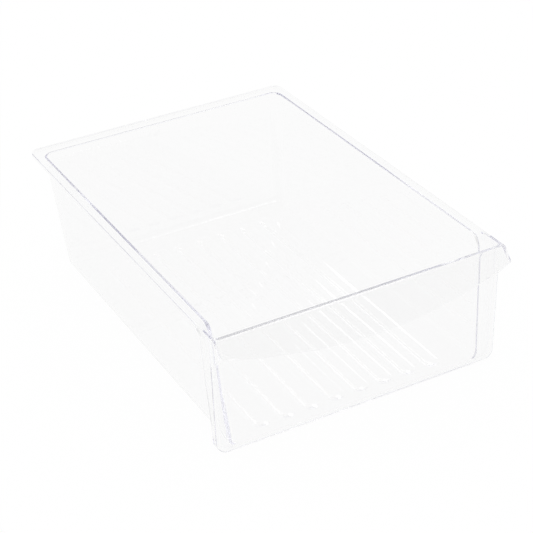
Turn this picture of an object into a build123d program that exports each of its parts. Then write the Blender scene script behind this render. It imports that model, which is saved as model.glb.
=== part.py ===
from build123d import *
import math
import os

# Refrigerator meat drawer, one clear moulded tub that hangs on its side flanges.
# Millimetres. +X is the drawer's right, +Y its rear, +Z up.
# The origin is on the underside, half way between the middle of the front face and the rear rim.

# Driving dimensions: the tub
rim_width = 279.0
rim_depth = 421.0
height = 130.0
wall = 2.4
side_draft = 3.6
rear_draft = 5.5
tub_corner_radius = 12.0
floor_radius = 8.0
rim_edge_radius = 1.2

# Driving dimensions: the wider front box
front_draft = 0.7
front_lean = 3.5
front_corner_radius = 8.0
front_foot_radius = 10.0
return_depth = 23.5
return_lean = 3.0
flare_radius = 14.0
inner_flare_radius = 8.5

# Driving dimensions: the runner flange
side_flange_width = 8.1
rear_flange_width = 14.4
flange_lip = 5.0
flange_corner_radius = 9.0

# Driving dimensions: the pull lip
pull_shelf = 2.8
pull_slope = 52.0
pull_drop_at_ends = 12.5
pull_drop_at_middle = 30.3
pull_roll_radius = 5.5
pull_edge_radius = 0.8
cheek_drop = 31.0

# Driving dimensions: the floor ribs
rib_count = 8
rib_pitch = 26.2
rib_width = 17.0
rib_height = 1.3
rib_front_gap = 24.5
rib_rear_gap = 32.0


def lean(degrees, rise):
    """Sideways run of a leaning wall over a rise."""
    return rise * math.tan(math.radians(degrees))


# Places worked out from the driving dimensions
front_width = rim_width + 2 * (wall + side_flange_width)
half_front = front_width / 2
front_y = -rim_depth / 2
rear_y = rim_depth / 2
front_top_y = front_y - lean(front_lean, height / 2)
flange_rear_y = rear_y + wall + rear_flange_width
return_foot = return_depth - lean(return_lean, height - wall)
return_rear_y = front_y + return_depth
flare_rear_y = return_rear_y + 2 * flare_radius
seam_y = front_y + return_foot / 2
above_rim = height + wall


def tub_block(inset, top):
    """Main tub as a solid block with drafted walls and a rounded foot; an inset makes its hollow."""
    drop = height - inset
    rise = top - height
    half_rim = rim_width / 2 + wall - inset
    half_foot = half_rim - lean(side_draft, drop)
    half_top = half_rim + lean(side_draft, rise)
    rear_rim = rear_y + wall - inset
    with BuildPart() as block:
        with BuildSketch(Plane.XZ):
            with BuildLine():
                Polyline(
                    (-half_foot, inset),
                    (half_foot, inset),
                    (half_top, top),
                    (-half_top, top),
                    close=True,
                )
            make_face()
        extrude(amount=rim_depth, both=True)
        with BuildSketch(Plane.YZ):
            with BuildLine():
                Polyline(
                    (seam_y, inset),
                    (rear_rim - lean(rear_draft, drop), inset),
                    (rear_rim + lean(rear_draft, rise), top),
                    (seam_y, top),
                    close=True,
                )
            make_face()
        extrude(amount=rim_width, both=True, mode=Mode.INTERSECT)
        rear_face = block.faces().sort_by(Axis.Y)[-1]
        fillet(rear_face.edges().filter_by(Axis.X, reverse=True), tub_corner_radius - inset)
        foot_edges = block.faces().sort_by(Axis.Z)[0].edges()
        fillet(foot_edges.sort_by(Axis.Y)[1:], floor_radius - inset)
    return block.part


def front_box(inset, top):
    """Wider front as a plain box with a leaning face and rounded front edges; an inset makes its hollow."""
    half_foot = half_front - inset - lean(front_draft, height - inset)
    half_top = half_front - inset + lean(front_draft, top - height)
    with BuildPart() as box:
        with BuildSketch(Plane.XZ.offset(-flare_rear_y)) as front_view:
            with BuildLine():
                Polyline(
                    (-half_foot, inset),
                    (half_foot, inset),
                    (half_top, top),
                    (-half_top, top),
                    close=True,
                )
            make_face()
            fillet(front_view.vertices().group_by(Axis.Y)[0], front_foot_radius - inset)
        extrude(amount=rim_depth)
        face_y = front_top_y + inset
        with BuildSketch(Plane.YZ):
            with BuildLine():
                Polyline(
                    (face_y + lean(front_lean, height - inset), inset),
                    (flare_rear_y, inset),
                    (flare_rear_y, top),
                    (face_y - lean(front_lean, top - height), top),
                    close=True,
                )
            make_face()
        extrude(amount=front_width, both=True, mode=Mode.INTERSECT)
        front_face = box.faces().sort_by(Axis.Y)[0]
        fillet(front_face.edges().sort_by(Axis.Z)[:-1], front_corner_radius - inset)
    return box.part


def flange_plan(inset):
    """Plan of the runner flange, a wall's inset inside its outer edge."""
    with BuildSketch(Plane.XY.offset(height - flange_lip)) as plan:
        with Locations((0, seam_y)):
            Rectangle(
                2 * (half_front - inset),
                flange_rear_y - inset - seam_y,
                align=(Align.CENTER, Align.MIN),
            )
        fillet(plan.vertices().group_by(Axis.Y)[-1], flange_corner_radius - inset)
    return plan.sketch


# Flange round the sides and the rear, with a lip that hangs from its outer edge
with BuildPart() as flange:
    extrude(flange_plan(0), amount=flange_lip)
    extrude(flange_plan(wall), amount=flange_lip - wall, mode=Mode.SUBTRACT)


# Main tub with its flange, open at the front, and rounded along the inner edge of its rim
with BuildPart() as main_tub:
    add(tub_block(0, height))
    add(flange.part)
    add(tub_block(wall, above_rim), mode=Mode.SUBTRACT)
    mouth_edges = main_tub.edges(Select.LAST).group_by(Axis.Z)[-1]
    fillet(mouth_edges.filter_by_position(Axis.Y, seam_y, flange_rear_y, (False, True)), rim_edge_radius)

# Space inside the main tub, with the rounded mouth that its rim leaves
with BuildPart() as tub_space:
    add(tub_block(0, height))
    add(flange.part)
    add(main_tub.part, mode=Mode.SUBTRACT)


# Wider front as a plain open box, rounded along the inner edge of its rim
with BuildPart() as front_shell:
    add(front_box(0, height))
    add(front_box(wall, above_rim), mode=Mode.SUBTRACT)
    mouth_edges = front_shell.edges(Select.LAST).group_by(Axis.Z)[-1]
    fillet(mouth_edges.filter_by_position(Axis.Y, front_top_y, flare_rear_y, (True, False)), rim_edge_radius)

# Space inside the wider front, closed behind by the leaning return wall
with BuildPart() as front_space:
    add(front_box(0, height))
    add(front_shell.part, mode=Mode.SUBTRACT)
    with BuildSketch(Plane.YZ) as inner_view:
        with BuildLine():
            Polyline(
                (front_top_y, wall),
                (front_y + return_foot - wall, wall),
                (return_rear_y - wall, height),
                (flare_rear_y, height),
                (flare_rear_y, above_rim),
                (front_top_y, above_rim),
                close=True,
            )
        make_face()
        shoulder = inner_view.vertices().sort_by_distance((return_rear_y - wall, height))[0]
        fillet(shoulder, inner_flare_radius)
    extrude(amount=front_width, both=True, mode=Mode.INTERSECT)

# Outside of the wider front, where the return wall flares out under the flange
with BuildPart() as front_block:
    add(front_box(0, height))
    with BuildSketch(Plane.YZ) as side_view:
        with BuildLine():
            Polyline(
                (front_top_y, 0),
                (front_y + return_foot, 0),
                (return_rear_y, height - wall),
                (flare_rear_y, height - wall),
                (flare_rear_y, height),
                (front_top_y, height),
                close=True,
            )
        make_face()
        shoulder = side_view.vertices().sort_by_distance((return_rear_y, height - wall))[0]
        fillet(shoulder, flare_radius)
    extrude(amount=front_width, both=True, mode=Mode.INTERSECT)


# Pull lip: a short shelf that rolls over into a sloping apron with an arched lower edge
apron_slope = math.radians(pull_slope)
apron_plane = Plane(
    origin=(0, front_top_y - pull_shelf, height),
    x_dir=(1, 0, 0),
    z_dir=(0, -math.sin(apron_slope), math.cos(apron_slope)),
)
arch_ends = pull_drop_at_ends / math.sin(apron_slope)
arch_middle = pull_drop_at_middle / math.sin(apron_slope)
apron_reach = pull_drop_at_middle + 2 * wall
with BuildPart() as pull_lip:
    with BuildSketch(Plane.YZ):
        with BuildLine():
            FilletPolyline(
                (front_top_y + wall, height),
                (front_top_y - pull_shelf, height),
                (front_top_y - pull_shelf - lean(90 - pull_slope, apron_reach), height - apron_reach),
                radius=pull_roll_radius,
            )
            offset(amount=wall, side=Side.LEFT)
        make_face()
    extrude(amount=half_front, both=True)
    with BuildSketch(apron_plane):
        with BuildLine():
            ThreePointArc((-half_front, -arch_ends), (0, -arch_middle), (half_front, -arch_ends))
            Polyline(
                (half_front, -arch_ends),
                (half_front, -2 * arch_middle),
                (-half_front, -2 * arch_middle),
                (-half_front, -arch_ends),
            )
        make_face()
    extrude(amount=2 * wall, both=True, mode=Mode.SUBTRACT)
    curved_edges = pull_lip.edges().filter_by(GeomType.LINE, reverse=True)
    fillet(curved_edges.sort_by(SortBy.LENGTH)[-2:], pull_edge_radius)


# Cheek that closes each end of the pull lip
cheek_nose_y = front_top_y - pull_shelf - lean(90 - pull_slope, pull_drop_at_ends)
with BuildPart() as cheeks:
    with BuildSketch(Plane.YZ.offset(half_front - wall)):
        with BuildLine():
            Polyline(
                (front_y + front_corner_radius + wall, height),
                (front_top_y, height),
                (cheek_nose_y + wall, height - pull_drop_at_ends),
                (front_y, height - cheek_drop),
                (front_y + front_corner_radius + wall, height - cheek_drop),
                close=True,
            )
        make_face()
    extrude(amount=wall)
    mirror(about=Plane.YZ)


# Floor ribs, low crowned bars that run from front to rear and are round at both ends
rib_length = rim_depth - lean(rear_draft, height - wall) - rib_front_gap - rib_rear_gap
rib_middle_y = front_y + rib_front_gap + rib_length / 2
rib_end_y = (rib_length - rib_width) / 2


def half_rib(y):
    """Right half of a rib's section at one place along it, rooted in the floor."""
    half = rib_width / 2
    crown = wall + rib_height
    with BuildSketch(Plane.XZ.offset(-y)) as section:
        with BuildLine():
            TangentArc((0, crown), (half, wall), tangent=(1, 0))
            Polyline((half, wall), (half, wall / 2), (0, wall / 2), (0, crown))
        make_face()
    return section.sketch


with BuildPart() as rib:
    extrude(half_rib(0), amount=rib_end_y, both=True)
    mirror(about=Plane.YZ)
    for end_y, turn in ((-rib_end_y, -180), (rib_end_y, 180)):
        turn_axis = Axis((0, end_y, 0), (0, 0, 1))
        revolve(half_rib(end_y), axis=turn_axis, revolution_arc=turn)

with BuildPart() as ribs:
    with Locations((0, rib_middle_y, 0)):
        with GridLocations(rib_pitch, 0, rib_count, 1):
            add(rib.part)


# The whole drawer
with BuildPart() as drawer_tub:
    add(main_tub.part)
    add(front_block.part)
    add(pull_lip.part)
    add(cheeks.part)
    add(front_space.part, mode=Mode.SUBTRACT)
    add(tub_space.part, mode=Mode.SUBTRACT)
    add(ribs.part)

os.makedirs("parts", exist_ok=True)
drawer_tub.part.label = "drawer_tub"
export_step(drawer_tub.part, "parts/drawer_tub.step")
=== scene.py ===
import math

import bpy
from mathutils import Matrix, Vector

# Clear refrigerator meat drawer on a plain white studio floor.
# Metres, in the same frame as the solids.

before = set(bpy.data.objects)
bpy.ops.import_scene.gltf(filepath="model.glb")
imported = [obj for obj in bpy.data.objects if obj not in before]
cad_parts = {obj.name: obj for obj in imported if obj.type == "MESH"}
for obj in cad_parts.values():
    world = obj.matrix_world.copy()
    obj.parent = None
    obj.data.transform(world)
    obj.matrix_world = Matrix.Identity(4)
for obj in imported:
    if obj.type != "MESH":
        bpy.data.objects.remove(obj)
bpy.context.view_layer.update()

# Camera, at the photograph's place and angle
IMAGE_WIDTH_PX = 533.0
FOCAL_LENGTH_PX = 1598.9
SENSOR_WIDTH_MM = 36.0
CAMERA_PLACE = Vector((-0.6061, -1.2653, 0.8659))
CAMERA_HEADING = math.radians(25.98)
CAMERA_DIP = math.radians(30.21)
CAMERA_ROLL = math.radians(-3.76)

# Clear polystyrene: a slight loss at each surface, and a tinge of blue along paths inside the wall
PLASTIC_IOR = 1.59
PLASTIC_TINT = (0.992, 0.992, 0.992, 1.0)
ABSORB_COLOUR = (0.80, 0.795, 0.875, 1.0)
ABSORB_DENSITY = 1.5

# Faint ripple and slightly uneven gloss that the mould leaves
RIPPLE_SCALE = 18.0
RIPPLE_DETAIL = 2.0
RIPPLE_HEIGHT = 0.00006
HAZE_SCALE = 140.0
HAZE_DETAIL = 4.0
HAZE_SPAN = (0.35, 0.7)
ROUGHNESS_SPAN = (0.006, 0.02)

# White floor, just clear of the drawer's underside
FLOOR_HALF_SIZE = 6.0
FLOOR_DROP = 0.0004
FLOOR_COLOUR = (0.98, 0.98, 0.98, 1.0)
FLOOR_GLOW_SHARE = 0.98

# White surroundings, a shade less in plastic, which also mirrors a dimmer room on the camera's side
SKY_COLOUR = (1.0, 1.0, 1.0, 1.0)
DIRECT_LIGHT = 1.0
THROUGH_LIGHT = 0.975
ROOM_LIGHT = 0.75
ROOM_SIDE = (-0.36, -0.74, 0.57)
ROOM_SPAN = (0.2, 0.9)

# Painted shade and light on the floor that only show in the rims, for rays that the walls guide up
# to them: a painted shade strip under the front foot, standing in for the floor's shade there, and a
# painted light strip along the right, standing in for the lamps there
GUIDED_DEPTH = 12.0
FRONT_PAINTED_SHADE = 0.56
FRONT_PAINTED_SHADE_SPAN = (-0.18, -0.195)
RIGHT_PAINTED_LIGHT = 1.5
RIGHT_PAINTED_LIGHT_SPAN = (0.05, 0.11)

# Soft boxes: name, place, width, height and brightness
SOFT_BOXES = (
    ("overhead_light", (0.76, 0.74, 1.70), 0.40, 0.40, 1.9),
    ("rear_card", (1.78, 1.62, 0.68), 0.70, 0.30, 1.30),
)
LIGHT_TARGET = Vector((0.0, 0.0, 0.05))

# Light leaves the walls only after long chains of reflections inside them
LIGHT_BOUNCES = 1024


def add_node(tree, kind, **values):
    """New node of a kind, with its properties and its input values set by name."""
    node = tree.nodes.new(kind)
    for name, value in values.items():
        if name in node.inputs:
            node.inputs[name].default_value = value
        else:
            setattr(node, name, value)
    return node


def feed(tree, socket, value):
    """Link an output to an input, or give the input a number."""
    if isinstance(value, bpy.types.NodeSocket):
        tree.links.new(value, socket)
    else:
        socket.default_value = value


def calculate(tree, operation, one, other):
    """Result of an operation on two values, each of them an output or a number."""
    node = add_node(tree, "ShaderNodeMath", operation=operation)
    feed(tree, node.inputs[0], one)
    feed(tree, node.inputs[1], other)
    return node.outputs[0]


def map_range(tree, value, span, results, **settings):
    """Output that goes from the first result to the second while a value crosses a span."""
    node = add_node(tree, "ShaderNodeMapRange", **settings)
    feed(tree, node.inputs["Value"], value)
    for name, limit in zip(("From Min", "From Max", "To Min", "To Max"), (*span, *results)):
        feed(tree, node.inputs[name], limit)
    return node.outputs["Result"]


def choose(tree, switch, off, on):
    """One value where a switch is 0, and the other where it is 1."""
    return map_range(tree, switch, (0.0, 1.0), (off, on))


def clear_plastic():
    """Clear moulded plastic: glassy, faintly blue along its edges, with a slight moulding ripple."""
    material = bpy.data.materials.new("clear_plastic")
    material.use_nodes = True
    tree = material.node_tree
    link = tree.links.new
    shader = tree.nodes["Principled BSDF"]
    output = tree.nodes["Material Output"]
    shader.inputs["Base Color"].default_value = PLASTIC_TINT
    shader.inputs["Transmission Weight"].default_value = 1.0
    shader.inputs["IOR"].default_value = PLASTIC_IOR

    place = add_node(tree, "ShaderNodeTexCoord").outputs["Object"]
    haze = add_node(tree, "ShaderNodeTexNoise", Scale=HAZE_SCALE, Detail=HAZE_DETAIL)
    roughness = map_range(tree, haze.outputs["Fac"], HAZE_SPAN, ROUGHNESS_SPAN)
    ripple = add_node(tree, "ShaderNodeTexNoise", Scale=RIPPLE_SCALE, Detail=RIPPLE_DETAIL)
    bump = add_node(tree, "ShaderNodeBump", Distance=RIPPLE_HEIGHT)
    link(place, haze.inputs["Vector"])
    link(place, ripple.inputs["Vector"])
    link(roughness, shader.inputs["Roughness"])
    link(ripple.outputs["Fac"], bump.inputs["Height"])
    link(bump.outputs["Normal"], shader.inputs["Normal"])

    absorb = add_node(
        tree, "ShaderNodeVolumeAbsorption", Color=ABSORB_COLOUR, Density=ABSORB_DENSITY
    )
    link(absorb.outputs["Volume"], output.inputs["Volume"])
    return material


def seen_in_plastic(tree):
    """1 for rays from a reflection or a refraction, and 0 for others."""
    path = add_node(tree, "ShaderNodeLightPath")
    glossy, through = path.outputs["Is Glossy Ray"], path.outputs["Is Transmission Ray"]
    return calculate(tree, "MAXIMUM", glossy, through)


def seen_sharply(tree):
    """1 for rays from the camera, a reflection or a refraction, and 0 for diffuse light."""
    path = add_node(tree, "ShaderNodeLightPath")
    return calculate(tree, "MAXIMUM", path.outputs["Is Camera Ray"], seen_in_plastic(tree))


def painted_guided_light(tree):
    """Painted shade and light on the floor for rays that a wall has guided to it: a share of the
    floor's light, darker under the front foot and brighter along the right, and 1 for others.
    """
    path = add_node(tree, "ShaderNodeLightPath")
    guided = calculate(tree, "GREATER_THAN", path.outputs["Ray Depth"], GUIDED_DEPTH)
    spot = add_node(tree, "ShaderNodeTexCoord")
    split = add_node(tree, "ShaderNodeSeparateXYZ")
    tree.links.new(spot.outputs["Object"], split.inputs["Vector"])
    soft = {"interpolation_type": "SMOOTHSTEP"}
    # Painted shade: the floor darker under the front foot
    painted_front_shade = map_range(tree, split.outputs["Y"], FRONT_PAINTED_SHADE_SPAN, (1.0, FRONT_PAINTED_SHADE), **soft)
    # Painted light: the floor brighter along the right
    right = map_range(tree, split.outputs["X"], RIGHT_PAINTED_LIGHT_SPAN, (1.0, RIGHT_PAINTED_LIGHT), **soft)
    return choose(tree, guided, 1.0, calculate(tree, "MULTIPLY", painted_front_shade, right))


def white_floor():
    """Matt white floor that shows near-white and keeps a faint shadow, with painted shade and light
    strips that only guided rays see.
    """
    material = bpy.data.materials.new("studio_floor")
    material.use_nodes = True
    tree = material.node_tree
    link = tree.links.new
    tree.nodes.remove(tree.nodes["Principled BSDF"])
    output = tree.nodes["Material Output"]
    even = choose(tree, seen_in_plastic(tree), DIRECT_LIGHT, THROUGH_LIGHT)
    # Painted shade and light strips, multiplied into the floor's glow for guided rays
    strength = calculate(tree, "MULTIPLY", even, painted_guided_light(tree))
    share = calculate(tree, "MULTIPLY", seen_sharply(tree), FLOOR_GLOW_SHARE)
    matt = add_node(tree, "ShaderNodeBsdfDiffuse", Color=FLOOR_COLOUR)
    glow = add_node(tree, "ShaderNodeEmission")
    mix = add_node(tree, "ShaderNodeMixShader")
    link(strength, glow.inputs["Strength"])
    link(share, mix.inputs["Fac"])
    link(matt.outputs["BSDF"], mix.inputs[1])
    link(glow.outputs["Emission"], mix.inputs[2])
    link(mix.outputs["Shader"], output.inputs["Surface"])
    return material


def studio_floor():
    """Flat square floor under the drawer."""
    mesh = bpy.data.meshes.new("floor")
    half, low = FLOOR_HALF_SIZE, -FLOOR_DROP
    corners = [(-half, -half, low), (half, -half, low), (half, half, low), (-half, half, low)]
    mesh.from_pydata(corners, [], [(0, 1, 2, 3)])
    floor = bpy.data.objects.new("floor", mesh)
    bpy.context.scene.collection.objects.link(floor)
    floor.data.materials.append(white_floor())


def studio_world():
    """White all round, with a dimmer room on the camera's side that only plastic mirrors."""
    world = bpy.data.worlds.new("studio")
    bpy.context.scene.world = world
    world.use_nodes = True
    tree = world.node_tree
    sky = tree.nodes["Background"]
    sky.inputs["Color"].default_value = SKY_COLOUR
    place = add_node(tree, "ShaderNodeTexCoord")
    facing = add_node(tree, "ShaderNodeVectorMath", operation="DOT_PRODUCT")
    facing.inputs[1].default_value = ROOM_SIDE
    tree.links.new(place.outputs["Generated"], facing.inputs[0])
    room = map_range(
        tree,
        facing.outputs["Value"],
        ROOM_SPAN,
        (THROUGH_LIGHT, ROOM_LIGHT),
        interpolation_type="SMOOTHSTEP",
    )
    strength = choose(tree, seen_in_plastic(tree), DIRECT_LIGHT, room)
    tree.links.new(strength, sky.inputs["Strength"])


def soft_box(name, place, width, height, brightness):
    """Soft lamp of a given brightness that faces the drawer, unseen by the camera itself."""
    lamp = bpy.data.lights.new(name, "AREA")
    lamp.shape = "RECTANGLE"
    lamp.size = width
    lamp.size_y = height
    lamp.energy = brightness * math.pi * width * height
    holder = bpy.data.objects.new(name, lamp)
    bpy.context.scene.collection.objects.link(holder)
    holder.location = place
    aim = LIGHT_TARGET - Vector(place)
    holder.rotation_euler = aim.to_track_quat("-Z", "Y").to_euler()
    holder.visible_camera = False


def camera():
    """Camera with the photograph's place, heading, dip, roll and focal length."""
    heading, dip, roll = CAMERA_HEADING, CAMERA_DIP, CAMERA_ROLL
    level_ahead = Vector((math.sin(heading), math.cos(heading), 0.0))
    level_right = Vector((math.cos(heading), -math.sin(heading), 0.0))
    ahead = level_ahead * math.cos(dip) - Vector((0.0, 0.0, math.sin(dip)))
    level_up = level_right.cross(ahead)
    right = level_right * math.cos(roll) + level_up * math.sin(roll)
    up = level_up * math.cos(roll) - level_right * math.sin(roll)
    lens = bpy.data.cameras.new("camera")
    lens.sensor_width = SENSOR_WIDTH_MM
    lens.lens = FOCAL_LENGTH_PX / IMAGE_WIDTH_PX * SENSOR_WIDTH_MM
    holder = bpy.data.objects.new("camera", lens)
    bpy.context.scene.collection.objects.link(holder)
    turn = Matrix((right, up, -ahead)).transposed().to_4x4()
    holder.matrix_world = Matrix.Translation(CAMERA_PLACE) @ turn
    bpy.context.scene.camera = holder


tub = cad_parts["drawer_tub"]
tub.data.materials.clear()
tub.data.materials.append(clear_plastic())

studio_world()
studio_floor()
for box in SOFT_BOXES:
    soft_box(*box)
camera()

scene = bpy.context.scene
scene.view_settings.view_transform = "Standard"
scene.cycles.max_bounces = LIGHT_BOUNCES
scene.cycles.transmission_bounces = LIGHT_BOUNCES
scene.cycles.glossy_bounces = LIGHT_BOUNCES
